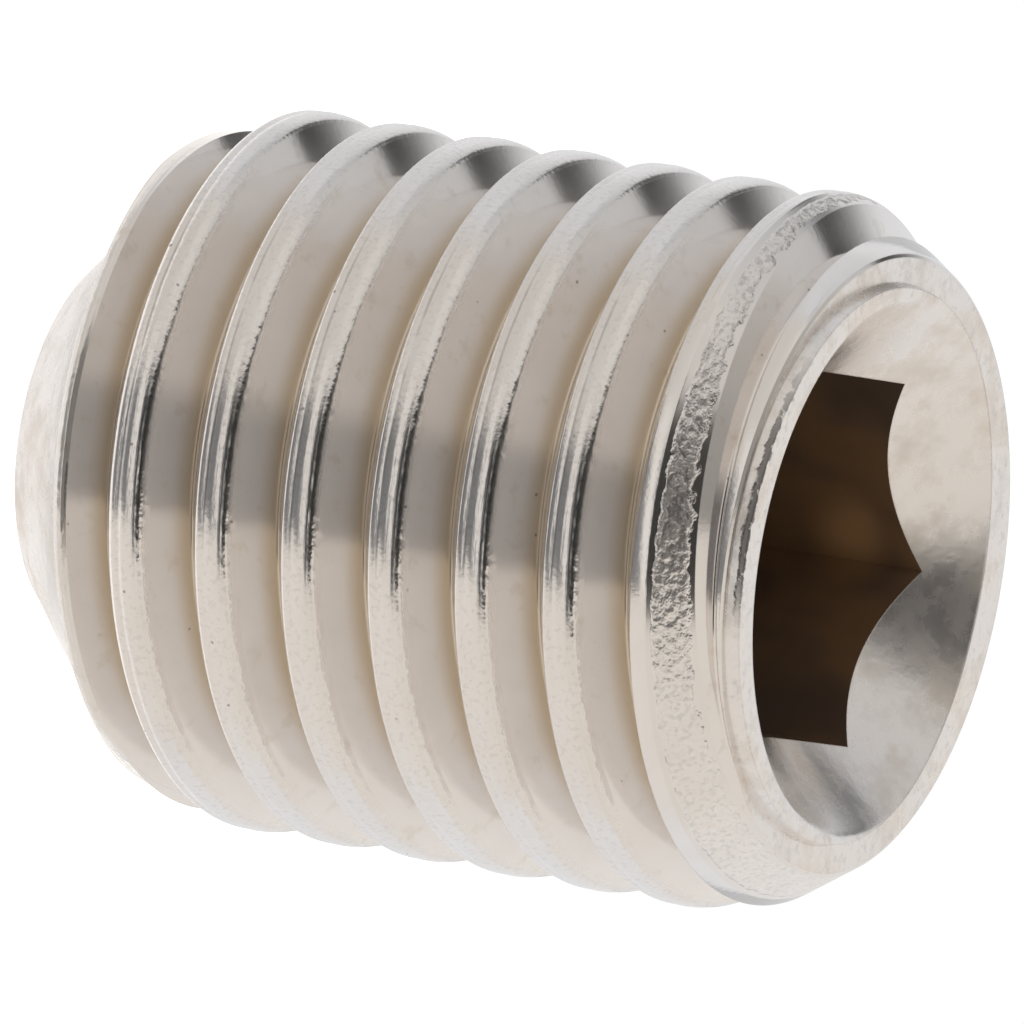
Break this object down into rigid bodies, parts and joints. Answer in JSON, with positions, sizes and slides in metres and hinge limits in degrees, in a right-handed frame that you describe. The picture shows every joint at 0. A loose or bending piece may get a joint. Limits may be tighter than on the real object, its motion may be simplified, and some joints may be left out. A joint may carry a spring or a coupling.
{
  "type": "grub set screw",
  "caption": "Short headless set screw, threaded end to end, with a countersunk hexagon socket in one end and a cup point at the other.",
  "frame": {"origin": "centre of the flat edge of the cup's rim, on which the screw stands", "axes": "+Z along the screw's axis, out of the hexagon socket; +X and +Y square to it"},
  "size_m": [0.0078, 0.0078, 0.0095],
  "materials": {
    "steel": "rolled stainless steel, satin, with a few small pits"
  },
  "bodies": {
    "root": {"set_screw": "steel"}
  },
  "joints": []
}
